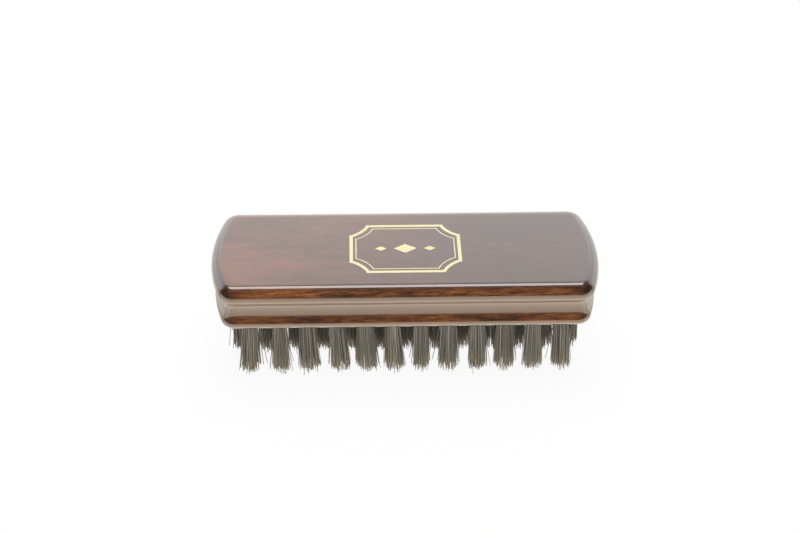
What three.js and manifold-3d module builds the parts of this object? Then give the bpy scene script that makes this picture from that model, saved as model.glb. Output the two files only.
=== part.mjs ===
// Upholstery brush: a one-piece hand block of lacquered hardwood, routed round its edge to a rolled
// upper bead, a finger cove and a lower lip. Four rows of bristle tufts are set in blind holes. Each
// tuft is folded over its own flat wire anchor, whose ends bite into the wall of the hole.
// Millimetres, +Z up. The bristle tips stand on z = 0, +X runs along the block and -Y is its front.

import * as THREE from "three";
import { mergeVertices } from "three/addons/utils/BufferGeometryUtils.js";
import Module from "manifold-3d";

// Hand block, seen from above
const blockLength = 125;
const blockWidth = 43.6;
const endBulge = 4.25;
const cornerRadius = 5.35;

// Hand block, seen in section
const blockHeight = 16.3;
const beadRadius = 3.5;
const beadWrap = THREE.MathUtils.degToRad(135);
const coveRadius = 7;
const lipRadius = 2.25;
const lipInset = 0.6;

// Tuft holes
const tuftsInOuterRow = 12;
const tuftsInInnerRow = 13;
const rowCount = 4;
const sideMargin = 7.7;
const endMargin = 7.9;
const holeDiameter = 4.6;
const holeDepth = 11;

// Flat wire anchors
const anchorThickness = 0.4;
const anchorHeight = 1.8;
const anchorBite = 0.4;
const foldThickness = 0.9;

// Bristles, and the slice of the block's face that carries each row
const bristleLength = 21;
const tuftTipRadius = 3.3;
const rowSplay = 1.5;
const endSplay = 0.45;
const strandsAround = 7;
const strandRootRadius = 0.58;
const strandTipRadius = 0.5;
const strandGrip = 0.6;
const trimStep = 0.9;
const sliceDepth = 2;
const sliceRim = 0.8;

// Fit between neighbouring pieces
const clearance = 0.3;

// Facets
const strandSides = 3;
const holeSides = 8;
const cornerSteps = 6;
const endSteps = 10;
const beadSteps = 9;
const coveSteps = 6;
const lipSteps = 6;
const sliceEndSteps = 6;

// Levels and places that follow from the sizes above
const quarterTurn = Math.PI / 2;
const undersideZ = bristleLength;
const topZ = undersideZ + blockHeight;
const holeEndZ = undersideZ + holeDepth;
const holeRadius = holeDiameter / 2;
const rootRadius = holeRadius - clearance / Math.cos(Math.PI / holeSides);
const rootEndZ = holeEndZ - clearance;
const anchorTopZ = rootEndZ - foldThickness - clearance;
const anchorLength = holeDiameter + 2 * anchorBite;
const sliceHalfWidth = holeRadius + sliceRim;
const tuftPitch = (blockLength - 2 * endMargin) / (tuftsInInnerRow - 1);
const rowPitch = (blockWidth - 2 * sideMargin) / (rowCount - 1);
const outerRowY = blockWidth / 2 - sideMargin;
const endTuftX = blockLength / 2 - endMargin;

const rows = [
  { name: "front", y: -outerRowY, tufts: tuftsInOuterRow },
  { name: "front_inner", y: -outerRowY + rowPitch, tufts: tuftsInInnerRow },
  { name: "back_inner", y: outerRowY - rowPitch, tufts: tuftsInInnerRow },
  { name: "back", y: outerRowY, tufts: tuftsInOuterRow },
];

const wasm = await Module();
wasm.setup();

// Solids in and out of the boolean library

function toSolid(geometry) {
  geometry.deleteAttribute("normal");
  geometry.deleteAttribute("uv");
  const merged = mergeVertices(geometry);
  return new wasm.Manifold(new wasm.Mesh({
    numProp: 3,
    vertProperties: new Float32Array(merged.attributes.position.array),
    triVerts: new Uint32Array(merged.index.array),
  }));
}

function toGeometry(solid) {
  const mesh = solid.getMesh();
  const geometry = new THREE.BufferGeometry();
  geometry.setAttribute("position", new THREE.Float32BufferAttribute(mesh.vertProperties, mesh.numProp));
  geometry.setIndex(new THREE.Uint32BufferAttribute(mesh.triVerts, 1));
  geometry.computeVertexNormals();
  return geometry;
}

function joined(solids) {
  return solids.reduce((whole, solid) => whole.add(solid));
}

// Simple shapes between two levels

function roundPost(x, y, radius, lowZ, highZ) {
  const height = highZ - lowZ;
  const geometry = new THREE.CylinderGeometry(radius, radius, height, holeSides);
  geometry.rotateY(Math.PI / holeSides);
  geometry.rotateX(quarterTurn);
  geometry.translate(x, y, lowZ + height / 2);
  return toSolid(geometry);
}

function crosswiseBar(x, y, thickness, length, lowZ, highZ) {
  const height = highZ - lowZ;
  const geometry = new THREE.BoxGeometry(thickness, length, height);
  geometry.translate(x, y, lowZ + height / 2);
  return geometry;
}

function roundEndedBar(halfSpan, y, halfWidth, lowZ, highZ) {
  const outline = new THREE.Shape();
  outline.absarc(halfSpan, y, halfWidth, -quarterTurn, quarterTurn);
  outline.absarc(-halfSpan, y, halfWidth, quarterTurn, 3 * quarterTurn);
  const geometry = new THREE.ExtrudeGeometry(outline, {
    depth: highZ - lowZ,
    curveSegments: sliceEndSteps,
    bevelEnabled: false,
  });
  geometry.translate(0, 0, lowZ);
  return toSolid(geometry);
}

// Hand block

function arcPoints(centre, radius, start, end, steps) {
  return new THREE.ArcCurve(centre.x, centre.y, radius, start, end, end < start).getPoints(steps);
}

// The plan outline, moved in by a distance: two bowed ends, four round corners and two straight sides.
function planRing(inset) {
  const halfWidth = blockWidth / 2;
  const endRadius = (halfWidth ** 2 + endBulge ** 2) / (2 * endBulge);
  const endX = blockLength / 2 - endRadius;
  const cornerY = halfWidth - cornerRadius;
  const cornerX = endX + Math.sqrt((endRadius - cornerRadius) ** 2 - cornerY ** 2);
  const meet = Math.atan2(cornerY, cornerX - endX);

  const bowedEnd = (side, middle) => arcPoints(
    new THREE.Vector2(side * endX, 0), endRadius - inset, middle - meet, middle + meet, endSteps);
  const corner = (sideX, sideY, start, end) => arcPoints(
    new THREE.Vector2(sideX * cornerX, sideY * cornerY), cornerRadius - inset, start, end, cornerSteps);

  return [
    ...bowedEnd(1, 0).slice(0, -1),
    ...corner(1, 1, meet, quarterTurn),
    ...corner(-1, 1, quarterTurn, 2 * quarterTurn - meet).slice(0, -1),
    ...bowedEnd(-1, 2 * quarterTurn).slice(0, -1),
    ...corner(-1, -1, 2 * quarterTurn + meet, 3 * quarterTurn),
    ...corner(1, -1, 3 * quarterTurn, 4 * quarterTurn - meet).slice(0, -1),
  ];
}

// The edge in section, from the flat top down to the flat underside. x is measured outwards from the
// widest line of the block, so it is never positive, and y is the height.
function edgeSection() {
  const beadCentre = new THREE.Vector2(-beadRadius, topZ - beadRadius);
  const bead = arcPoints(beadCentre, beadRadius, quarterTurn, quarterTurn - beadWrap, beadSteps);

  // The cove starts under the bead and runs into the lip with no corner.
  const coveStart = bead.at(-1);
  const lipCentre = new THREE.Vector2(-lipInset - lipRadius, undersideZ + lipRadius);
  const reach = coveRadius + lipRadius;
  const apart = coveStart.distanceTo(lipCentre);
  const along = (coveRadius ** 2 - reach ** 2 + apart ** 2) / (2 * apart);
  const aside = Math.sqrt(coveRadius ** 2 - along ** 2);
  const towardsLip = lipCentre.clone().sub(coveStart).normalize();
  const outwards = new THREE.Vector2(-towardsLip.y, towardsLip.x);
  const coveCentre = coveStart.clone().addScaledVector(towardsLip, along).addScaledVector(outwards, aside);

  const coveFrom = coveStart.clone().sub(coveCentre).angle();
  const coveTo = lipCentre.clone().sub(coveCentre).angle();
  const cove = arcPoints(coveCentre, coveRadius, coveFrom, coveTo, coveSteps);
  const lip = arcPoints(lipCentre, lipRadius, coveTo - Math.PI, -quarterTurn, lipSteps);
  return [...bead, ...cove.slice(1), ...lip.slice(1)];
}

function blockBlank() {
  const rings = edgeSection().map((point) =>
    planRing(-point.x).map((corner) => new THREE.Vector3(corner.x, corner.y, point.y)));
  const count = rings[0].length;
  const indices = [];
  for (let band = 0; band < rings.length - 1; band += 1) {
    for (let i = 0; i < count; i += 1) {
      const next = (i + 1) % count;
      const upper = band * count;
      const lower = upper + count;
      indices.push(upper + i, lower + i, lower + next);
      indices.push(upper + i, lower + next, upper + next);
    }
  }
  const bottom = (rings.length - 1) * count;
  for (let i = 1; i < count - 1; i += 1) {
    indices.push(0, i, i + 1);
    indices.push(bottom, bottom + i + 1, bottom + i);
  }
  const geometry = new THREE.BufferGeometry().setFromPoints(rings.flat());
  geometry.setIndex(indices);
  return toSolid(geometry);
}

function rowHalfSpan(row) {
  return tuftPitch * (row.tufts - 1) / 2;
}

function tuftPlaces(row) {
  const firstX = -rowHalfSpan(row);
  return Array.from({ length: row.tufts }, (_, i) => ({ x: firstX + i * tuftPitch, y: row.y }));
}

// A drilled hole with the grooves that the anchor's ends cut in its wall on the way in.
function tuftHole(place) {
  const hole = roundPost(place.x, place.y, holeRadius, undersideZ, holeEndZ);
  const grooves = toSolid(crosswiseBar(
    place.x,
    place.y,
    anchorThickness + 2 * clearance,
    anchorLength + 2 * clearance,
    undersideZ,
    anchorTopZ + clearance,
  ));
  return hole.add(grooves);
}

function woodBlock() {
  const cuts = rows.map((row) => {
    const seat = roundEndedBar(
      rowHalfSpan(row),
      row.y,
      sliceHalfWidth + clearance,
      undersideZ - clearance,
      undersideZ + sliceDepth + clearance,
    );
    return joined([seat, ...tuftPlaces(row).map(tuftHole)]);
  });
  return toGeometry(blockBlank().subtract(joined(cuts)));
}

// Bristle rows

// One strand from its root at the block's face to its tip, leaning by an offset, with level ends.
function strand(rootX, rootY, leanX, leanY, tipZ) {
  const length = undersideZ - tipZ;
  const height = length + strandGrip;
  const geometry = new THREE.CylinderGeometry(strandRootRadius, strandTipRadius, height, strandSides);
  geometry.rotateX(quarterTurn);
  geometry.translate(0, 0, strandGrip - height / 2);
  geometry.applyMatrix4(new THREE.Matrix4().makeShear(0, 0, 0, 0, -leanX / length, -leanY / length));
  geometry.translate(rootX, rootY, undersideZ);
  return toSolid(geometry);
}

// The free part of a tuft: one strand in the middle and a ring that opens out towards the tips. Every
// second strand of the ring is a little shorter, and the long ones are cut level on z = 0.
function tuftStrands(place) {
  const splayX = endSplay * place.x / endTuftX;
  const splayY = rowSplay * place.y / outerRowY;
  const rootRing = holeRadius - strandRootRadius;
  const tipRing = tuftTipRadius - strandTipRadius;
  const strands = [strand(place.x, place.y, splayX, splayY, 0)];
  for (let i = 0; i < strandsAround; i += 1) {
    const turn = 2 * Math.PI * i / strandsAround;
    const across = Math.cos(turn);
    const forth = Math.sin(turn);
    strands.push(strand(
      place.x + rootRing * across,
      place.y + rootRing * forth,
      splayX + (tipRing - rootRing) * across,
      splayY + (tipRing - rootRing) * forth,
      (i % 2) * trimStep,
    ));
  }
  return strands;
}

// The folded root of a tuft, which goes up one side of the anchor, over it and down the other.
function tuftRoot(place) {
  const root = roundPost(place.x, place.y, rootRadius, undersideZ + sliceDepth / 2, rootEndZ);
  const window = toSolid(crosswiseBar(
    place.x,
    place.y,
    anchorThickness + 2 * clearance,
    holeDiameter,
    anchorTopZ - anchorHeight - clearance,
    anchorTopZ + clearance,
  ));
  return root.subtract(window);
}

function bristleRow(row) {
  const slice = roundEndedBar(rowHalfSpan(row), row.y, sliceHalfWidth, undersideZ, undersideZ + sliceDepth);
  const tufts = tuftPlaces(row).flatMap((place) => [tuftRoot(place), ...tuftStrands(place)]);
  return toGeometry(joined([slice, ...tufts]));
}

// Anchors

function anchor(place) {
  return crosswiseBar(place.x, place.y, anchorThickness, anchorLength, anchorTopZ - anchorHeight, anchorTopZ);
}

// Assembly

const mahogany = { color: 0x5b2d1b, roughness: 0.25, metalness: 0 };
const hair = { color: 0x5a564d, roughness: 0.7, metalness: 0 };
const zincedWire = { color: 0xb4b6b8, roughness: 0.4, metalness: 1 };

function addPiece(group, name, geometry, finish) {
  const mesh = new THREE.Mesh(geometry, new THREE.MeshStandardMaterial(finish));
  mesh.name = name;
  group.add(mesh);
}

const brush = new THREE.Group();
brush.name = "upholstery_brush";
addPiece(brush, "wood_block", woodBlock(), mahogany);
for (const row of rows) {
  addPiece(brush, `bristle_row_${row.name}`, bristleRow(row), hair);
  tuftPlaces(row).forEach((place, i) => {
    const number = String(i + 1).padStart(2, "0");
    addPiece(brush, `anchor_${row.name}_${number}`, anchor(place), zincedWire);
  });
}

export default brush;
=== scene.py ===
import math

import bmesh
import bpy
import numpy as np
from bpy.props import FloatProperty
from bpy.props import FloatVectorProperty
from bpy.props import IntProperty
from bpy.props import PointerProperty
from mathutils import Color
from mathutils import Matrix
from mathutils import Vector


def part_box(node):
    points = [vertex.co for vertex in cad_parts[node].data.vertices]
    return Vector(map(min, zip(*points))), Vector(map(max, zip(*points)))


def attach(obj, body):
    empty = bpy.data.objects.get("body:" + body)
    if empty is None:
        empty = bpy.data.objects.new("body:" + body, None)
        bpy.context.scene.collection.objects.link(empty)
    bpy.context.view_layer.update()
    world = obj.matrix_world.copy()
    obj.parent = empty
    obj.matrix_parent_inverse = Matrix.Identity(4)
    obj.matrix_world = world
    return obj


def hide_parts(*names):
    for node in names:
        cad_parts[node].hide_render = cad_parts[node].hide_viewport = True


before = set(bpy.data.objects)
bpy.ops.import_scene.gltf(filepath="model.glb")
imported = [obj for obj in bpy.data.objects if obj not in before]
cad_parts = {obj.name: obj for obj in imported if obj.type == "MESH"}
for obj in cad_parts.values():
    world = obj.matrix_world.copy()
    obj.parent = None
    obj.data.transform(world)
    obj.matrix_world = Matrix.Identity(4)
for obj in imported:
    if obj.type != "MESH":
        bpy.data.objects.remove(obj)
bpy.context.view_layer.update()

bl_info = {
    "name": "Upholstery Brush",
    "version": (1, 0, 0),
    "blender": (4, 5, 0),
    "location": "View3D > Sidebar > Brush",
    "description": "Models a lacquered hand brush with tufted bristles, and the studio it stands in",
    "category": "Object",
}

BLOCK_LOW, BLOCK_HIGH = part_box("wood_block")
ANCHOR_NODES = sorted(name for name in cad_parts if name.startswith("anchor_"))
BODY = "root"

MILLIMETRE = 0.001
QUARTER_TURN = math.pi / 2
GOLDEN_ANGLE = math.pi * (3 - math.sqrt(5))
MERGE_DISTANCE = 1e-6
SEED_PLANE = 0.001
WHITE = (1.0, 1.0, 1.0, 1.0)

# Steps of the round stretches
BEAD_STEPS = 20
COVE_STEPS = 16
LIP_STEPS = 16
CORNER_STEPS = 14
END_STEPS = 40
DRILL_SIDES = 20
SCOOP_STEPS = 10
SMOOTH_ANGLE = math.radians(32)

# Rows of tufts from the front, and how far the tufts in view lean along the block, in millimetres
ROW_NAMES = ("front", "front_inner", "back_inner", "back")
ROW_LEANS = {
    "front": (0.0, 0.5, 0.4, 1.2, 1.2, 1.1, 0.4, 0.2, 0.4, 0.3, 0.0, 0.7),
    "front_inner": (1.8, 0.8, 1.2, 1.7, 2.0, 1.4, 0.7, 0.2, 0.2, 0.5, 0.3, 0.0, -0.9),
}

# One hair: its sides, its rings, how deep it is rooted and how its thickness and tone vary
HAIR_SIDES = 4
HAIR_RINGS = 5
ROOT_DEPTH = 0.004
HAIR_THICKNESS = (0.75, 1.15)
TONE_SPREAD = (2.2, 3.4)

# Where a hair bends: shares of its free length and of its way out
ELBOW_DROP = (0.3, 0.5)
ELBOW_REACH = (0.3, 0.6)

# How far tufts, hairs, strays and trimmed tips wander, in metres
TUFT_WANDER = 0.0001
HAIR_WANDER = 0.0002
STRAY_WANDER = 0.0012
STRAY_LIMIT = 0.0024
TRIM_WANDER = 0.00035

# Share of the hairs that stray, and how far from a tuft's middle its clumps lie, as a share of its radius
STRAY_SHARE = 0.08
CLUMP_REACH = 0.8

# Shares of patches, flecks and lines in the figure of the wood
SIDE_FIGURE = (0.30, 0.56, 0.14)
TOP_FIGURE = (0.70, 0.20, 0.10)

# Where the colours of the edge begin and end, in metres below the flat top: the flat top, the painted shade
# where the bead turns under, and the painted shade of the cove
TOP_EDGE = (0.0012, 0.0001)
PAINTED_SHADE_UNDER_BEAD = (0.0012, 0.0034)
BEAD_FOOT = (0.0024, 0.0033)

# Where the colours of the edge begin and end, in metres above the underside: the lip, and the painted shade
# under it
LIP_HEAD = (0.0046, 0.0058)
LIP_FOOT = (0.0029, 0.0022)

# Where the painted shade at the right of the top and the darker end grain begin and end, in metres from the
# block's middle
TOP_PAINTED_SHADE_FADE = (-0.03, 0.03)
END_FADE = (0.0515, 0.0580)

# How far along the block a face points where its end grain begins and ends
END_FACING = (0.0, 0.32)

# How fully the stains and the painted shade cover the wood
DOWNWARD_PAINTED_SHADE_COVER = 0.55
DOWNWARD_PAINTED_SHADE_LESS_ON_LIP = 0.16
COVE_PAINTED_SHADE_COVER = 0.75
RIGHT_PAINTED_SHADE_COVER = 0.85
END_COVER = 0.9
END_LESS_IN_COVE = 0.55
END_LESS_ON_LIP = 0.4
TIP_COVER = 0.6

# Where the olive tips begin and end, as a share of the hair
TIP_FADE = (0.55, 1.0)

# Lozenges of the printed frame: place and size, as shares of the middle one's length
LOZENGES = {"middle": (0, 1), "left": (-1.05, 0.5), "right": (1.05, 0.5)}
LOZENGE_SLIMNESS = 0.62
SCOOP_PROFILE = 0.15

# The camera: the photograph's width in pixels, its sensor in millimetres and its near clip in metres
PHOTO_WIDTH = 800
SENSOR_WIDTH = 36.0
CLIP_START = 0.01

# The table in reflections: its front edge, its shaded places beside the ends and its strengths
TABLE_EDGE = (-0.22, -0.06)
SHADE_START = (0.055, 0.066)
SHADE_END = (0.084, 0.100)
SHADE_FRONT = (-0.012, 0.008)
SHADE_DEPTH = 0.45
TABLE_STRENGTH = 1.52
UNLIT_STRENGTH = 0.02
FLOOR_WHITENESS = 0.93

# The studio in reflections: where it counts as behind and as low, and its strengths
STUDIO_BEHIND = (0.05, 0.35)
STUDIO_LOW = (0.78, 0.5)
FRONT_STRENGTH = 0.02
BEHIND_STRENGTH = 0.3
LOW_STRENGTH = 1.8
ALL_ROUND_STRENGTH = 0.5

# Soft boxes: degrees up, degrees round from behind, distance and sides in metres
SOFT_BOXES = {
    "back_soft_box": (35, 0, 1.0, (1.1, 0.58)),
    "overhead_soft_box": (74, 0, 1.0, (0.7, 0.5)),
    "front_fill": (30, 180, 1.5, (1.0, 1.0)),
}
TABLE_GLOW_SIDES = (0.8, 0.11)
TABLE_GLOW_PLACE = (0, -0.075, 0.001)


# Sizes and colours that a user would change


def whole(name, description, default):
    return IntProperty(name=name, description=description, default=default)


def metres(name, description, default):
    return FloatProperty(name=name, description=description, default=default, unit="LENGTH", precision=5)


def degrees(name, description, default):
    return FloatProperty(name=name, description=description, default=math.radians(default), subtype="ANGLE")


def pixels(name, description, default):
    return FloatProperty(name=name, description=description, default=default, subtype="PIXEL")


def watts(name, description, default):
    return FloatProperty(name=name, description=description, default=default, unit="POWER")


def colour(name, description, default):
    return FloatVectorProperty(
        name=name, description=description, default=default, subtype="COLOR", size=3, min=0, max=1)


class BlockSizes(bpy.types.PropertyGroup):
    """The hand block in plan and in section"""

    length: metres("Length", "Block from end to end", BLOCK_HIGH.x - BLOCK_LOW.x)
    width: metres("Width", "Block from side to side", BLOCK_HIGH.y - BLOCK_LOW.y)
    underside: metres("Underside", "Height of the block's lower face", BLOCK_LOW.z)
    top: metres("Top", "Height of the block's flat top", BLOCK_HIGH.z)
    end_bulge: metres("End bulge", "How far each end bows out past its corners", 0.00425)
    corner_radius: metres("Corner radius", "Corners seen from above", 0.00535)
    bead_radius: metres("Bead radius", "Rolled upper edge", 0.0035)
    bead_wrap: degrees("Bead wrap", "How far the upper edge rolls under", 135)
    cove_radius: metres("Cove radius", "Finger cove round the sides", 0.007)
    lip_radius: metres("Lip radius", "Rounded lower edge", 0.00225)
    lip_inset: metres("Lip inset", "How far the lower edge stands in from the upper one", 0.0006)
    rim: metres("Rim", "Narrow flat ring that keeps the big faces flat", 0.0004)


class TuftSizes(bpy.types.PropertyGroup):
    """The rows of tufts and the hairs in them"""

    outer_tufts: whole("Outer tufts", "Tufts in the front and back rows", 12)
    inner_tufts: whole("Inner tufts", "Tufts in the two inner rows", 13)
    side_margin: metres("Side margin", "From the block's side to the outer rows", 0.0077)
    end_margin: metres("End margin", "From the block's end to the inner rows", 0.0079)
    hole_diameter: metres("Hole diameter", "Drilled tuft hole", 0.0046)
    hole_depth: metres("Hole depth", "Drilled tuft hole", 0.011)
    hairs: whole("Hairs", "Hairs in one tuft", 170)
    hair_radius: metres("Hair radius", "Half the thickness of a hair at its root", 0.00014)
    tip_radius: metres("Tip radius", "Half the thickness of a hair at its tip", 0.00009)
    spread: metres("Spread", "How far the outer hairs of a tuft open out", 0.00115)
    clumps: whole("Clumps", "Clumps that the hairs of a tuft part into", 9)
    clump_lean: metres("Clump lean", "How far the clumps part at their tips", 0.00036)
    row_splay: metres("Row splay", "How far the outer rows lean out at their tips", 0.0015)
    end_splay: metres("End splay", "How far the end tufts lean out at their tips", 0.00045)
    trim: metres("Trim", "Usual height of the tips above the longest ones", 0.002)
    dish: metres("Dish", "How much shorter the hairs are in the middle of the brush", 0.0004)
    seed: whole("Seed", "Start of the random draws", 7)


class FoilSizes(bpy.types.PropertyGroup):
    """The printed frame on the flat top"""

    length: metres("Length", "Frame along the block", 0.036)
    width: metres("Width", "Frame across the block", 0.0255)
    line: metres("Line", "Width of the frame's line", 0.0011)
    inner_gap: metres("Inner gap", "From the frame's line to the thin line inside it", 0.0008)
    thin_line: metres("Thin line", "Width of the thin line", 0.00035)
    lozenge: metres("Lozenge", "Lozenge in the middle, along the block", 0.0075)
    scoop: metres("Scoop", "Hollow corners of the frame", 0.0055)
    thickness: metres("Thickness", "Foil standing proud of the lacquer", 0.00003)


class WoodColours(bpy.types.PropertyGroup):
    """The stained wood under the lacquer, with painted shade under the bead, in the cove, under the lip and
    at the right of the top
    """

    side_pores: colour("Side pores", "Darkest flecks of the sides", (0.046, 0.0210, 0.0115))
    side_dark: colour("Side dark", "Dark streaks of the sides", (0.120, 0.0445, 0.0180))
    side_red: colour("Side red", "Usual colour of the sides", (0.236, 0.0845, 0.0280))
    side_pale: colour("Side pale", "Palest streaks of the sides", (0.390, 0.1480, 0.0460))
    top_dark: colour("Top dark", "Dark patches at the left of the top", (0.073, 0.0295, 0.0187))
    top_red: colour("Top red", "Usual colour at the left of the top", (0.113, 0.0420, 0.0225))
    top_pale: colour("Top pale", "Palest patches at the left of the top", (0.177, 0.0575, 0.0268))
    # Top right: painted shade, the right of the top darker and greyer
    top_right_painted_shade: colour("Top right", "Even stain at the right of the top", (0.056, 0.0300, 0.0220))
    # Downward: painted shade below the middle of the bead, where the edge turns under, lighter on the lip
    painted_shade_downward: colour("Downward", "Stain where the edge faces down", (0.046, 0.0220, 0.0120))
    # Cove: painted shade, an even darker brown in the finger cove and under the lip
    cove: colour("Cove", "Even stain in the finger cove and under the lip", (0.092, 0.0470, 0.0225))
    end_grain: colour("End grain", "Stain on the two ends", (0.022, 0.0130, 0.0095))


class HairColours(bpy.types.PropertyGroup):
    """The hairs of the tufts"""

    dark: colour("Dark", "Darkest hairs", (0.085, 0.085, 0.076))
    usual: colour("Usual", "Usual hairs", (0.193, 0.193, 0.172))
    pale: colour("Pale", "Pale hairs", (0.304, 0.304, 0.270))
    palest: colour("Palest", "Few palest hairs", (0.497, 0.508, 0.460))
    tip: colour("Tip", "Olive tips", (0.248, 0.212, 0.130))


class MetalColours(bpy.types.PropertyGroup):
    """The printed foil and the wire anchors"""

    foil_dull: colour("Foil dull", "Foil over the pores of the wood", (0.585, 0.53, 0.287))
    foil_bright: colour("Foil bright", "Foil between the pores", (0.71, 0.655, 0.393))
    wire_dull: colour("Wire dull", "Draw lines of the wire", (0.42, 0.42, 0.43))
    wire_bright: colour("Wire bright", "Wire between its draw lines", (0.68, 0.68, 0.68))


class StageSettings(bpy.types.PropertyGroup):
    """The camera, the floor and the lamps"""

    distance: metres("Distance", "Camera to the middle of the brush", 0.5032)
    elevation: degrees("Elevation", "Camera above the horizon", 38.1)
    turn: degrees("Turn", "Camera round from the middle of the front", 2.154)
    roll: degrees("Roll", "Camera about its own axis", 0.647)
    aim_below_top: metres("Aim", "Aimed point below the flat top", 0.012)
    focal_length: pixels("Focal length", "In pixels of the photograph", 1535.5)
    shift_right: pixels("Shift right", "Aimed point right of the picture's middle", 4.96)
    shift_down: pixels("Shift down", "Aimed point below the picture's middle", 11.08)
    floor_size: metres("Floor", "Side of the square floor", 6.0)
    floor_paint: colour("Floor paint", "Floor that takes the shadow", (0.86, 0.86, 0.86))
    table_shine: colour("Table shine", "Table as the lacquer mirrors it", (1.0, 0.945, 0.84))
    table_light: colour("Table light", "Light from the table in front", (1.0, 0.85, 0.66))
    back_power: watts("Back soft box", "Lamp behind the brush", 1.3)
    overhead_power: watts("Overhead soft box", "Lamp above the brush", 7.0)
    fill_power: watts("Front fill", "Lamp in front, not mirrored", 4.5)
    table_power: watts("Table glow", "Light from the table in front", 0.305)


# Node trees written as arithmetic


class Signal:
    """An output of a shader node. Arithmetic on it adds Math nodes."""

    def __init__(self, sheet, socket):
        self.sheet = sheet
        self.socket = socket

    def math(self, operation, *values):
        sockets = dict(enumerate(values))
        return self.sheet.add("ShaderNodeMath", {"operation": operation}, sockets)

    def __add__(self, other):
        return self.math("ADD", self, other)

    def __radd__(self, other):
        return self.math("ADD", other, self)

    def __sub__(self, other):
        return self.math("SUBTRACT", self, other)

    def __rsub__(self, other):
        return self.math("SUBTRACT", other, self)

    def __mul__(self, other):
        return self.math("MULTIPLY", self, other)

    def __rmul__(self, other):
        return self.math("MULTIPLY", other, self)

    def absolute(self):
        return self.math("ABSOLUTE", self)

    def largest(self, other):
        return self.math("MAXIMUM", self, other)

    def clamped(self):
        return self.sheet.add("ShaderNodeClamp", {}, {"Value": self})


class NodeSheet:
    """The node tree of one material or world."""

    def __init__(self, owner):
        owner.use_nodes = True
        self.tree = owner.node_tree
        self.tree.nodes.clear()

    def node(self, kind, settings=None, sockets=None):
        """Adds a node, sets it, then fills its sockets with links, colours or plain values."""
        made = self.tree.nodes.new(kind)
        for name, value in (settings or {}).items():
            if name == "stops":
                self.set_stops(made.color_ramp, value)
            else:
                setattr(made, name, value)
        for name, value in (sockets or {}).items():
            if isinstance(value, Signal):
                self.tree.links.new(value.socket, made.inputs[name])
            elif isinstance(value, Color):
                made.inputs[name].default_value = (*value, 1.0)
            else:
                made.inputs[name].default_value = value
        return made

    def add(self, kind, settings=None, sockets=None, output=0):
        return Signal(self, self.node(kind, settings, sockets).outputs[output])

    def set_stops(self, ramp, stops):
        while len(ramp.elements) < len(stops):
            ramp.elements.new(1.0)
        for element, (place, shade) in zip(ramp.elements, stops):
            element.position = place
            element.color = (*shade, 1.0)

    def ramp(self, factor, stops):
        return self.add("ShaderNodeValToRGB", {"stops": stops}, {"Fac": factor})

    def blend(self, factor, first, second):
        """Two colours. A Mix node has its factor at socket 0, its colours at 6 and 7 and their mix at 2."""
        sockets = {0: factor, 6: first, 7: second}
        return self.add("ShaderNodeMix", {"data_type": "RGBA"}, sockets, output=2)

    def smooth(self, value, reach):
        """Rises gently from 0 to 1 between the two values of a reach."""
        low, high = reach
        settings = {"interpolation_type": "SMOOTHSTEP"}
        sockets = {"Value": value, "From Min": low, "From Max": high, "To Min": 0.0, "To Max": 1.0}
        return self.add("ShaderNodeMapRange", settings, sockets)

    def axis(self, coordinates, letter):
        place = self.add("ShaderNodeTexCoord", output=coordinates)
        return self.add("ShaderNodeSeparateXYZ", {}, {"Vector": place}, output=letter)

    def ray(self, kind):
        return self.add("ShaderNodeLightPath", output=f"Is {kind} Ray")

    def attribute(self, name):
        return self.add("ShaderNodeAttribute", {"attribute_name": name}, output="Fac")

    def noise(self, scale, tilt=0.0, detail=2.0, roughness=0.5, distortion=0.0):
        """Noise with so many waves to the metre along each axis, turned a little about the upright."""
        place = self.add("ShaderNodeTexCoord", output="Object")
        mapping = {"Vector": place, "Rotation": (0.0, 0.0, tilt), "Scale": scale}
        sockets = {
            "Vector": self.add("ShaderNodeMapping", {}, mapping),
            "Scale": 1.0,
            "Detail": detail,
            "Roughness": roughness,
            "Distortion": distortion,
        }
        return self.add("ShaderNodeTexNoise", {}, sockets, output="Fac")

    def bump(self, height, strength, distance):
        sockets = {"Height": height, "Strength": strength, "Distance": distance}
        return self.add("ShaderNodeBump", {}, sockets, output="Normal")

    def emission(self, shade, strength):
        return self.add("ShaderNodeEmission", {}, {"Color": shade, "Strength": strength})

    def mix_shaders(self, factor, first, second):
        return self.add("ShaderNodeMixShader", {}, {0: factor, 1: first, 2: second})

    def show(self, shader):
        self.node("ShaderNodeOutputMaterial", {}, {"Surface": shader})

    def surface(self, sockets):
        self.show(self.add("ShaderNodeBsdfPrincipled", {}, sockets))


# Finishes


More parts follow.
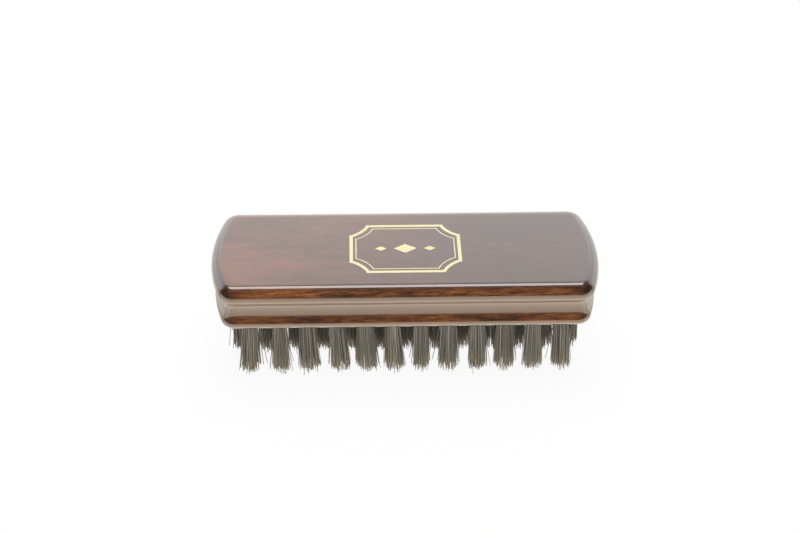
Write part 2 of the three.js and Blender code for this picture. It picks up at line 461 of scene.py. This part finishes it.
def lacquered_mahogany(stain_and_shade, sizes):
    """Red-brown stained wood, darker on its end grain, under a thick clear lacquer. Shade is painted where
    the edge turns under, in the cove, under the lip and at the right of the top.
    """
    finish = bpy.data.materials.new("lacquered_mahogany")
    sheet = NodeSheet(finish)
    x = sheet.axis("Object", "X")
    z = sheet.axis("Object", "Z")
    patches = sheet.noise((26.0, 75.0, 75.0), tilt=0.1, detail=3.0, roughness=0.6, distortion=0.8)
    flecks = sheet.noise((210.0, 1700.0, 1700.0), tilt=0.04, detail=3.0, roughness=0.65, distortion=0.3)
    lines = sheet.noise((60.0, 3200.0, 3200.0), tilt=0.05, distortion=0.5)
    ripple = sheet.noise((300.0, 300.0, 300.0), detail=1.0)

    def figure(shares):
        return patches * shares[0] + flecks * shares[1] + lines * shares[2]

    def below_top(depths):
        return sheet.smooth(z, [sizes.top - depth for depth in depths])

    def above_underside(heights):
        return sheet.smooth(z, [sizes.underside + height for height in heights])

    above_lip = above_underside(LIP_HEAD)
    on_lip = 1 - above_lip
    in_cove = below_top(BEAD_FOOT) * above_lip
    under_lip = above_underside(LIP_FOOT)
    on_top = below_top(TOP_EDGE)

    side = sheet.ramp(figure(SIDE_FIGURE), [
        (0.38, stain_and_shade.side_pores),
        (0.46, stain_and_shade.side_dark),
        (0.54, stain_and_shade.side_red),
        (0.64, stain_and_shade.side_pale),
    ])
    # Painted shade: the wood is darker below the middle of the bead, where the edge turns under, and a
    # little less dark on the lip
    painted_shade_downward = below_top(PAINTED_SHADE_UNDER_BEAD) * (DOWNWARD_PAINTED_SHADE_COVER - on_lip * DOWNWARD_PAINTED_SHADE_LESS_ON_LIP)
    side = sheet.blend(painted_shade_downward, side, stain_and_shade.painted_shade_downward)
    # Painted shade: an even darker brown in the cove and under the lip
    cove_painted_shade = (in_cove + under_lip).clamped()
    side = sheet.blend(cove_painted_shade * COVE_PAINTED_SHADE_COVER, side, stain_and_shade.cove)

    top_left = sheet.ramp(figure(TOP_FIGURE), [
        (0.36, stain_and_shade.top_dark),
        (0.50, stain_and_shade.top_red),
        (0.62, stain_and_shade.top_pale),
    ])
    # Painted shade: the right of the top darker and greyer
    painted_shade_to_right = sheet.smooth(x, TOP_PAINTED_SHADE_FADE)
    flat = sheet.blend(painted_shade_to_right * RIGHT_PAINTED_SHADE_COVER, top_left, stain_and_shade.top_right_painted_shade)
    wood = sheet.blend(on_top, side, flat)

    sideways = sheet.smooth(sheet.axis("Normal", "X").absolute(), END_FACING)
    near_end = sheet.smooth(x.absolute(), END_FADE) * (1 - on_top)
    end_cover = END_COVER - in_cove * END_LESS_IN_COVE - on_lip * END_LESS_ON_LIP
    wood = sheet.blend(sideways.largest(near_end) * end_cover, wood, stain_and_shade.end_grain)
    sheet.surface({
        "Base Color": wood,
        "Roughness": 0.34 + flecks * 0.12,
        "Specular IOR Level": 0.15,
        "Coat Weight": 1.0,
        "Coat Roughness": 0.035,
        "Coat IOR": 1.65,
        "Normal": sheet.bump(ripple, strength=0.05, distance=0.0002),
    })
    return finish


def dark_hair(hair):
    """Grey-brown hair with paler strands among it and olive tips."""
    finish = bpy.data.materials.new("dark_hair")
    sheet = NodeSheet(finish)
    tone = sheet.attribute("hair_tone")
    shaft = sheet.ramp(tone, [
        (0.0, hair.dark),
        (0.5, hair.usual),
        (0.8, hair.pale),
        (1.0, hair.palest),
    ])
    tip = sheet.smooth(sheet.attribute("hair_reach"), TIP_FADE)
    sheet.surface({
        "Base Color": sheet.blend(tip * TIP_COVER, shaft, hair.tip),
        "Roughness": 0.40 + tone * 0.12,
        "Specular IOR Level": 0.5,
    })
    return finish


def gold_foil(metal):
    """Pale gold foil pressed on the lacquer, a little broken by the grain below."""
    finish = bpy.data.materials.new("gold_foil")
    sheet = NodeSheet(finish)
    grain = sheet.noise((700.0, 2600.0, 700.0), detail=3.0, roughness=0.6)
    sheet.surface({
        "Base Color": sheet.ramp(grain, [(0.30, metal.foil_dull), (0.60, metal.foil_bright)]),
        "Roughness": 0.38 + grain * 0.15,
        "Metallic": 0.15,
    })
    return finish


def drawn_wire(metal):
    """Flat steel wire with fine draw lines along it."""
    finish = bpy.data.materials.new("drawn_wire")
    sheet = NodeSheet(finish)
    lines = sheet.noise((9000.0, 300.0, 9000.0))
    sheet.surface({
        "Base Color": sheet.ramp(lines, [(0.3, metal.wire_dull), (0.7, metal.wire_bright)]),
        "Metallic": 1.0,
        "Roughness": 0.25 + lines * 0.2,
    })
    return finish


# Modelling steps shared by the pieces


def deselect_everything():
    if bpy.context.object and bpy.context.object.mode != "OBJECT":
        bpy.ops.object.mode_set(mode="OBJECT")
    bpy.ops.object.select_all(action="DESELECT")


def make_active(piece):
    deselect_everything()
    piece.select_set(True)
    bpy.context.view_layer.objects.active = piece


def settle(name):
    """Names the active object and moves its place into its mesh."""
    piece = bpy.context.object
    piece.name = name
    piece.data.name = name
    bpy.ops.object.transform_apply(location=True, rotation=True, scale=True)
    return piece


def single_vertex(name, place):
    """A new mesh of one vertex, selected and in edit mode."""
    deselect_everything()
    bpy.ops.mesh.primitive_plane_add(size=SEED_PLANE, location=place)
    piece = settle(name)
    bpy.ops.object.mode_set(mode="EDIT")
    bpy.ops.mesh.select_all(action="SELECT")
    bpy.ops.mesh.merge(type="CENTER")
    return piece


def choose_rim(piece, level):
    """Selects the open edges at a height, in edit mode."""
    bpy.ops.mesh.select_mode(type="EDGE")
    bpy.ops.mesh.select_all(action="DESELECT")
    mesh = bmesh.from_edit_mesh(piece.data)
    for edge in mesh.edges:
        if edge.is_boundary and all(abs(v.co.z - level) < MERGE_DISTANCE for v in edge.verts):
            edge.select_set(True)
    bmesh.update_edit_mesh(piece.data)


def close_mesh():
    """Merges doubles, turns the faces outwards and leaves edit mode."""
    bpy.ops.mesh.select_all(action="SELECT")
    bpy.ops.mesh.remove_doubles(threshold=MERGE_DISTANCE)
    bpy.ops.mesh.normals_make_consistent(inside=False)
    bpy.ops.object.mode_set(mode="OBJECT")


def thicken(thickness):
    """Raises the flat mesh that is in edit mode, and closes it."""
    bpy.ops.mesh.select_all(action="SELECT")
    bpy.ops.mesh.extrude_region_move(TRANSFORM_OT_translate={"value": (0, 0, thickness)})
    close_mesh()


def dress(piece, finish):
    """Gives a finished piece its material and its body."""
    piece.data.materials.clear()
    piece.data.materials.append(finish)
    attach(piece, BODY)


# Hand block


def plan_of(sizes):
    """Centres of the arcs of the block seen from above, and the angle where a corner meets an end."""
    half_width = sizes.width / 2
    end_radius = (half_width ** 2 + sizes.end_bulge ** 2) / (2 * sizes.end_bulge)
    end_x = sizes.length / 2 - end_radius
    corner_y = half_width - sizes.corner_radius
    corner_x = end_x + math.sqrt((end_radius - sizes.corner_radius) ** 2 - corner_y ** 2)
    meet = math.atan2(corner_y, corner_x - end_x)
    return end_x, corner_x, corner_y, meet


def section_arcs(sizes):
    """The arcs of the edge, from the flat top down: centre, sweep and steps. x runs outwards, y up."""
    bead = Vector((-sizes.bead_radius, sizes.top - sizes.bead_radius))
    last = QUARTER_TURN - sizes.bead_wrap
    start = bead + sizes.bead_radius * Vector((math.cos(last), math.sin(last)))
    lip = Vector((-sizes.lip_inset - sizes.lip_radius, sizes.underside + sizes.lip_radius))
    reach = sizes.cove_radius + sizes.lip_radius
    apart = (lip - start).length
    along = (sizes.cove_radius ** 2 - reach ** 2 + apart ** 2) / (2 * apart)
    aside = math.sqrt(sizes.cove_radius ** 2 - along ** 2)
    towards = (lip - start).normalized()
    cove = start + along * towards + aside * Vector((-towards.y, towards.x))
    first = math.atan2(start.y - cove.y, start.x - cove.x) % math.tau
    second = math.atan2(lip.y - cove.y, lip.x - cove.x) % math.tau
    return [
        (bead, -sizes.bead_wrap, BEAD_STEPS),
        (cove, second - first, COVE_STEPS),
        (lip, QUARTER_TURN - second, LIP_STEPS),
    ]


def sweep_edge(sizes):
    """The edge in section, carried round the plan: four corners, two bowed ends and two straight sides."""
    end_x, corner_x, corner_y, meet = plan_of(sizes)
    half_width = sizes.width / 2
    block = single_vertex("hand_block", (-corner_x, sizes.bead_radius - half_width, sizes.top))
    for centre, sweep, steps in section_arcs(sizes):
        pivot = (-corner_x, -half_width - centre.x, centre.y)
        bpy.ops.mesh.spin(steps=steps, angle=sweep, center=pivot, axis=(1, 0, 0))
    bpy.ops.mesh.select_all(action="SELECT")
    for side in (1, -1):
        bpy.ops.mesh.extrude_region_move(TRANSFORM_OT_translate={"value": (2 * side * corner_x, 0, 0)})
        turns = [
            ((side * corner_x, -side * corner_y, 0), QUARTER_TURN - meet, CORNER_STEPS),
            ((side * end_x, 0, 0), 2 * meet, END_STEPS),
            ((side * corner_x, side * corner_y, 0), QUARTER_TURN - meet, CORNER_STEPS),
        ]
        for pivot, turn, steps in turns:
            bpy.ops.mesh.spin(steps=steps, angle=-turn, center=pivot, axis=(0, 0, 1))
    return block


def cap_block(block, sizes):
    """Closes the flat top and the underside, each with a narrow flat ring inside its edge."""
    close_mesh()
    bpy.ops.object.mode_set(mode="EDIT")
    for level in (sizes.top, sizes.underside):
        choose_rim(block, level)
        bpy.ops.mesh.edge_face_add()
        bpy.ops.mesh.inset(thickness=sizes.rim, depth=0)
    close_mesh()


def tuft_places(tufts, sizes):
    """The middle of each tuft hole, in four evenly spaced rows from the front."""
    pitch = (sizes.length - 2 * tufts.end_margin) / (tufts.inner_tufts - 1)
    outer_y = sizes.width / 2 - tufts.side_margin
    inner_y = outer_y / 3
    counts = (tufts.outer_tufts, tufts.inner_tufts, tufts.inner_tufts, tufts.outer_tufts)
    places = {}
    for name, count, y in zip(ROW_NAMES, counts, (-outer_y, -inner_y, inner_y, outer_y)):
        places[name] = [Vector(((i - (count - 1) / 2) * pitch, y)) for i in range(count)]
    return places


def tuft_drill(place, tufts, sizes):
    """A drill at one tuft hole, which starts a little outside the block."""
    overshoot = sizes.rim
    middle = sizes.underside + (tufts.hole_depth - overshoot) / 2
    deselect_everything()
    bpy.ops.mesh.primitive_cylinder_add(
        vertices=DRILL_SIDES, radius=tufts.hole_diameter / 2, depth=tufts.hole_depth + overshoot,
        location=(place.x, place.y, middle))
    return settle("drill")


def drill_tuft_holes(block, tufts, sizes):
    """Cuts the blind holes with one cutter that holds all the drills."""
    rows = tuft_places(tufts, sizes).values()
    drills = [tuft_drill(place, tufts, sizes) for row in rows for place in row]
    make_active(drills[0])
    for drill in drills:
        drill.select_set(True)
    bpy.ops.object.join()
    cutter = bpy.context.object
    make_active(block)
    holes = block.modifiers.new("tuft_holes", "BOOLEAN")
    holes.operation = "DIFFERENCE"
    holes.solver = "EXACT"
    holes.object = cutter
    uncut = len(block.data.polygons)
    bpy.ops.object.modifier_apply(modifier=holes.name)
    if len(block.data.polygons) <= uncut:
        raise RuntimeError("The tuft holes were not cut")
    bpy.data.objects.remove(cutter)


class UPHOLSTERY_OT_hand_block(bpy.types.Operator):
    """Sweep the routed edge round the plan, close the block and drill the tuft holes"""

    bl_idname = "upholstery.hand_block"
    bl_label = "Hand Block"

    def execute(self, context):
        scene = context.scene
        sizes = scene.brush_block
        block = sweep_edge(sizes)
        cap_block(block, sizes)
        drill_tuft_holes(block, scene.brush_tufts, sizes)
        bpy.ops.object.shade_smooth_by_angle(angle=SMOOTH_ANGLE)
        dress(block, lacquered_mahogany(scene.brush_wood, sizes))
        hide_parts("wood_block")
        return {"FINISHED"}


# Bristles


def straight_hair():
    """One hair of unit length and thickness, cut into rings: its vertices and faces."""
    deselect_everything()
    bpy.ops.mesh.primitive_cylinder_add(
        vertices=HAIR_SIDES, radius=1, depth=1, location=(0, 0, -0.5), end_fill_type="NGON")
    hair = settle("hair")
    bpy.ops.object.mode_set(mode="EDIT")
    for ring in range(1, HAIR_RINGS):
        bpy.ops.mesh.select_all(action="SELECT")
        bpy.ops.mesh.bisect(plane_co=(0, 0, -ring / HAIR_RINGS), plane_no=(0, 0, 1))
    close_mesh()
    corners = np.array([v.co for v in hair.data.vertices])
    faces = [list(face.vertices) for face in hair.data.polygons]
    bpy.data.objects.remove(hair)
    return corners, faces


def hair_paths(place, lean_along, tufts, sizes, draw):
    """Root, elbow and tip of each hair of a tuft, all in metres."""
    count = tufts.hairs
    order = np.arange(count)
    turn = order * GOLDEN_ANGLE
    out = np.sqrt((order + 0.5) / count)
    across = np.column_stack([np.cos(turn), np.sin(turn)]) * out[:, None]
    root = np.array(place) + across * (tufts.hole_diameter / 2 - tufts.hair_radius)

    outer = np.array([sizes.length / 2 - tufts.end_margin, sizes.width / 2 - tufts.side_margin])
    splay = np.array(place) / outer * np.array([tufts.end_splay, tufts.row_splay])
    lean = splay + np.array([lean_along * MILLIMETRE, 0]) + draw.normal(0, TUFT_WANDER, 2)
    middles = draw.uniform(-CLUMP_REACH, CLUMP_REACH, (tufts.clumps, 2))
    clump = np.argmin(np.linalg.norm(across[:, None] - middles[None], axis=2), axis=1)
    parting = draw.normal(0, tufts.clump_lean, (tufts.clumps, 2))[clump]
    wander = parting + draw.normal(0, HAIR_WANDER, (count, 2))
    strays = draw.random(count) < STRAY_SHARE
    astray = draw.normal(0, STRAY_WANDER, (count, 2)).clip(-STRAY_LIMIT, STRAY_LIMIT)
    wander[strays] += astray[strays]
    tip = root + lean + across * tufts.spread + wander

    height = tufts.trim * np.sqrt(draw.random(count)) + np.abs(draw.normal(0, TRIM_WANDER, count))
    height += tufts.dish * (1 - abs(place.y) / outer[1])
    root_z = np.full(count, sizes.underside + ROOT_DEPTH)
    elbow_z = sizes.underside - (sizes.underside - height) * draw.uniform(*ELBOW_DROP, count)
    elbow = root + (tip - root) * draw.uniform(*ELBOW_REACH, count)[:, None]
    return (
        np.column_stack([root, root_z]),
        np.column_stack([elbow, elbow_z]),
        np.column_stack([tip, np.maximum(height, 0)]),
    )


def bristle_row(row, places, tufts, sizes, draw):
    """All the hairs of a row in one mesh, with a tone for each hair and the reach along it."""
    corners, faces = straight_hair()
    reach = -corners[:, 2]
    girth = tufts.hair_radius + (tufts.tip_radius - tufts.hair_radius) * reach ** 2
    leans = ROW_LEANS.get(row, ()) + (0.0,) * len(places)
    paths = [hair_paths(place, lean, tufts, sizes, draw) for place, lean in zip(places, leans)]
    root, elbow, tip = (np.concatenate(parts)[:, None, :] for parts in zip(*paths))
    along = reach[None, :, None]
    spine = (1 - along) ** 2 * root + 2 * along * (1 - along) * elbow + along ** 2 * tip
    hairs = len(spine)
    thickness = draw.uniform(*HAIR_THICKNESS, (hairs, 1, 1))
    rounds = np.column_stack([corners[:, :2] * girth[:, None], np.zeros(len(corners))])
    points = (spine + rounds[None] * thickness).reshape(-1, 3)
    count = len(corners)
    loops = [[corner + i * count for corner in face] for i in range(hairs) for face in faces]

    name = f"bristles_{row}"
    mesh = bpy.data.meshes.new(name)
    mesh.from_pydata(points.tolist(), [], loops)
    tone = np.repeat(draw.beta(*TONE_SPREAD, hairs), count)
    for label, values in (("hair_tone", tone), ("hair_reach", np.tile(reach, hairs))):
        layer = mesh.attributes.new(label, "FLOAT", "POINT")
        layer.data.foreach_set("value", values.astype(np.float32))
    mesh.shade_smooth()
    piece = bpy.data.objects.new(name, mesh)
    bpy.context.scene.collection.objects.link(piece)
    return piece


class UPHOLSTERY_OT_bristles(bpy.types.Operator):
    """Fill every tuft hole with hairs, one mesh for each row"""

    bl_idname = "upholstery.bristles"
    bl_label = "Bristles"

    def execute(self, context):
        tufts = context.scene.brush_tufts
        sizes = context.scene.brush_block
        draw = np.random.default_rng(tufts.seed)
        finish = dark_hair(context.scene.brush_hair)
        for row, places in tuft_places(tufts, sizes).items():
            piece = bristle_row(row, places, tufts, sizes, draw)
            dress(piece, finish)
            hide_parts(f"bristle_row_{row}")
        return {"FINISHED"}


# Anchors


class UPHOLSTERY_OT_anchors(bpy.types.Operator):
    """Give the wire anchors inside the tufts their drawn steel finish"""

    bl_idname = "upholstery.anchors"
    bl_label = "Anchors"

    def execute(self, context):
        finish = drawn_wire(context.scene.brush_metal)
        for name in ANCHOR_NODES:
            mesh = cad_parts[name].data
            mesh.materials.clear()
            mesh.materials.append(finish)
        return {"FINISHED"}


# Printed frame


def foil_line(name, inset, line, foil, level):
    """A closed line of foil with hollow corners, so far inside the printed frame's edge."""
    deselect_everything()
    bpy.ops.mesh.primitive_plane_add(size=1, location=(0, 0, level))
    bpy.context.object.scale = (foil.length - 2 * inset, foil.width - 2 * inset, 1)
    plate = settle(name)
    bpy.ops.object.mode_set(mode="EDIT")
    bpy.ops.mesh.select_mode(type="VERT")
    bpy.ops.mesh.select_all(action="SELECT")
    bpy.ops.mesh.bevel(offset=foil.scoop, segments=SCOOP_STEPS, profile=SCOOP_PROFILE, affect="VERTICES")
    bpy.ops.mesh.select_mode(type="FACE")
    bpy.ops.mesh.select_all(action="SELECT")
    bpy.ops.mesh.inset(thickness=line, depth=0)
    bpy.ops.mesh.delete(type="FACE")
    thicken(foil.thickness)
    return plate


def foil_lozenge(name, place, size, foil, level):
    """A small square of foil on its corner, drawn out along the block."""
    deselect_everything()
    middle = (place * foil.lozenge, 0, level)
    radius = size * foil.lozenge / 2
    bpy.ops.mesh.primitive_circle_add(vertices=4, radius=radius, fill_type="NGON", location=middle)
    bpy.context.object.scale = (1.0, LOZENGE_SLIMNESS, 1.0)
    lozenge = settle(name)
    bpy.ops.object.mode_set(mode="EDIT")
    thicken(foil.thickness)
    return lozenge


class UPHOLSTERY_OT_foil(bpy.types.Operator):
    """Print a gold line with hollow corners, a thinner one inside it and three lozenges on the flat top"""

    bl_idname = "upholstery.foil"
    bl_label = "Printed Frame"

    def execute(self, context):
        foil = context.scene.brush_foil
        level = context.scene.brush_block.top
        finish = gold_foil(context.scene.brush_metal)
        pieces = [
            foil_line("foil_frame", 0, foil.line, foil, level),
            foil_line("foil_thin_line", foil.line + foil.inner_gap, foil.thin_line, foil, level),
        ]
        for name, (place, size) in LOZENGES.items():
            pieces.append(foil_lozenge(f"foil_lozenge_{name}", place, size, foil, level))
        for piece in pieces:
            dress(piece, finish)
        return {"FINISHED"}


# Stage


def pale_floor(stage):
    """White floor with a soft shadow. In reflections it ends in front, and is shaded beside the brush."""
    finish = bpy.data.materials.new("pale_floor")
    sheet = NodeSheet(finish)
    aside = sheet.axis("Object", "X").absolute()
    y = sheet.axis("Object", "Y")
    beside = sheet.smooth(aside, SHADE_START) * (1 - sheet.smooth(aside, SHADE_END))
    shade = beside * sheet.smooth(y, SHADE_FRONT) * SHADE_DEPTH
    lit = sheet.smooth(y, TABLE_EDGE) * (1 - shade)
    unlit = sheet.emission(WHITE, UNLIT_STRENGTH)
    shine = sheet.emission(stage.table_shine, TABLE_STRENGTH)
    table = sheet.mix_shaders(lit, unlit, shine)

    paint = sheet.add("ShaderNodeBsdfDiffuse", {}, {"Color": stage.floor_paint})
    plain = sheet.mix_shaders(sheet.ray("Camera") * FLOOR_WHITENESS, paint, sheet.emission(WHITE, 1.0))
    mirrored = (sheet.ray("Glossy") + sheet.ray("Transmission")).clamped()
    sheet.show(sheet.mix_shaders(mirrored, plain, table))
    return finish


def studio_world(scene):
    """White to the camera. In reflections it is pale behind and at the sides and dark in front."""
    scene.world = bpy.data.worlds.new("studio")
    sheet = NodeSheet(scene.world)
    behind = sheet.smooth(sheet.axis("Generated", "Y"), STUDIO_BEHIND)
    low = sheet.smooth(sheet.axis("Generated", "Z"), STUDIO_LOW)
    camera = sheet.ray("Camera")
    glossy = sheet.ray("Glossy")
    other = 1 - (camera + glossy).clamped()
    mirrored = FRONT_STRENGTH + behind * (BEHIND_STRENGTH + low * LOW_STRENGTH)
    strength = camera + glossy * mirrored + other * ALL_ROUND_STRENGTH
    light = sheet.add("ShaderNodeBackground", {}, {"Color": WHITE, "Strength": strength})
    sheet.node("ShaderNodeOutputWorld", {}, {"Surface": light})


def lamp(name, sides, power):
    """A rectangular lamp that the camera doesn't see."""
    data = bpy.data.lights.new(name, "AREA")
    data.shape = "RECTANGLE"
    data.size, data.size_y = sides
    data.energy = power
    light = bpy.data.objects.new(name, data)
    bpy.context.scene.collection.objects.link(light)
    light.visible_camera = False
    return light


def soft_box(name, power, target):
    """A lamp that faces the brush from its place in the studio."""
    up, turn, distance, sides = SOFT_BOXES[name]
    elevation = math.radians(up)
    azimuth = math.radians(turn)
    level = math.cos(elevation) * distance
    offset = Vector((math.sin(azimuth) * level, math.cos(azimuth) * level, math.sin(elevation) * distance))
    light = lamp(name, sides, power)
    light.location = target + offset
    light.rotation_euler = offset.to_track_quat("Z", "Y").to_euler()
    return light


def table_glow(stage):
    """The lit table in front of the brush, which shines up at its edge."""
    light = lamp("table_glow", TABLE_GLOW_SIDES, stage.table_power)
    light.data.color = stage.table_light
    light.location = TABLE_GLOW_PLACE
    light.rotation_euler = (math.pi, 0, 0)


def place_camera(scene, stage, sizes):
    """The photograph's viewpoint, with its small shift and roll."""
    data = bpy.data.cameras.new("camera")
    data.sensor_width = SENSOR_WIDTH
    data.lens = SENSOR_WIDTH * stage.focal_length / PHOTO_WIDTH
    data.shift_x = -stage.shift_right / PHOTO_WIDTH
    data.shift_y = stage.shift_down / PHOTO_WIDTH
    data.clip_start = CLIP_START
    camera = bpy.data.objects.new("camera", data)
    scene.collection.objects.link(camera)
    level = stage.distance * math.cos(stage.elevation)
    offset = Vector((
        -level * math.sin(stage.turn),
        -level * math.cos(stage.turn),
        stage.distance * math.sin(stage.elevation),
    ))
    camera.location = Vector((0, 0, sizes.top - stage.aim_below_top)) + offset
    facing = offset.to_track_quat("Z", "Y").to_matrix().to_4x4()
    turned = facing @ Matrix.Rotation(stage.roll, 4, "Z")
    camera.rotation_euler = turned.to_euler()
    scene.camera = camera


class UPHOLSTERY_OT_stage(bpy.types.Operator):
    """Set the floor, the lamps, the studio and the camera"""

    bl_idname = "upholstery.stage"
    bl_label = "Stage"

    def execute(self, context):
        scene = context.scene
        stage = scene.brush_stage
        sizes = scene.brush_block
        deselect_everything()
        bpy.ops.mesh.primitive_plane_add(size=stage.floor_size, location=(0, 0, 0))
        floor = settle("floor")
        floor.data.materials.append(pale_floor(stage))
        studio_world(scene)
        middle = Vector((0, 0, sizes.top))
        soft_box("back_soft_box", stage.back_power, middle)
        soft_box("overhead_soft_box", stage.overhead_power, middle)
        fill = soft_box("front_fill", stage.fill_power, middle)
        fill.visible_glossy = False
        table_glow(stage)
        scene.view_settings.view_transform = "Standard"
        place_camera(scene, stage, sizes)
        return {"FINISHED"}


# Panel and registration


class UPHOLSTERY_PT_brush(bpy.types.Panel):
    """The sizes, the colours and the steps of the brush"""

    bl_idname = "UPHOLSTERY_PT_brush"
    bl_label = "Upholstery Brush"
    bl_space_type = "VIEW_3D"
    bl_region_type = "UI"
    bl_category = "Brush"

    def draw(self, context):
        for name, group in PROPERTY_GROUPS.items():
            box = self.layout.box()
            box.label(text=group.__doc__)
            for setting in group.__annotations__:
                box.prop(getattr(context.scene, name), setting)
        for step in STEPS:
            self.layout.operator(step.bl_idname)


STEPS = (
    UPHOLSTERY_OT_hand_block,
    UPHOLSTERY_OT_bristles,
    UPHOLSTERY_OT_anchors,
    UPHOLSTERY_OT_foil,
    UPHOLSTERY_OT_stage,
)

PROPERTY_GROUPS = {
    "brush_block": BlockSizes,
    "brush_tufts": TuftSizes,
    "brush_foil": FoilSizes,
    "brush_wood": WoodColours,
    "brush_hair": HairColours,
    "brush_metal": MetalColours,
    "brush_stage": StageSettings,
}


def register():
    for name, group in PROPERTY_GROUPS.items():
        bpy.utils.register_class(group)
        setattr(bpy.types.Scene, name, PointerProperty(type=group))
    for kind in (*STEPS, UPHOLSTERY_PT_brush):
        bpy.utils.register_class(kind)


def unregister():
    for kind in reversed((*STEPS, UPHOLSTERY_PT_brush)):
        bpy.utils.unregister_class(kind)
    for name, group in PROPERTY_GROUPS.items():
        delattr(bpy.types.Scene, name)
        bpy.utils.unregister_class(group)


def main():
    register()
    bpy.ops.upholstery.hand_block()
    bpy.ops.upholstery.bristles()
    bpy.ops.upholstery.anchors()
    bpy.ops.upholstery.foil()
    bpy.ops.upholstery.stage()


if __name__ == "__main__":
    main()
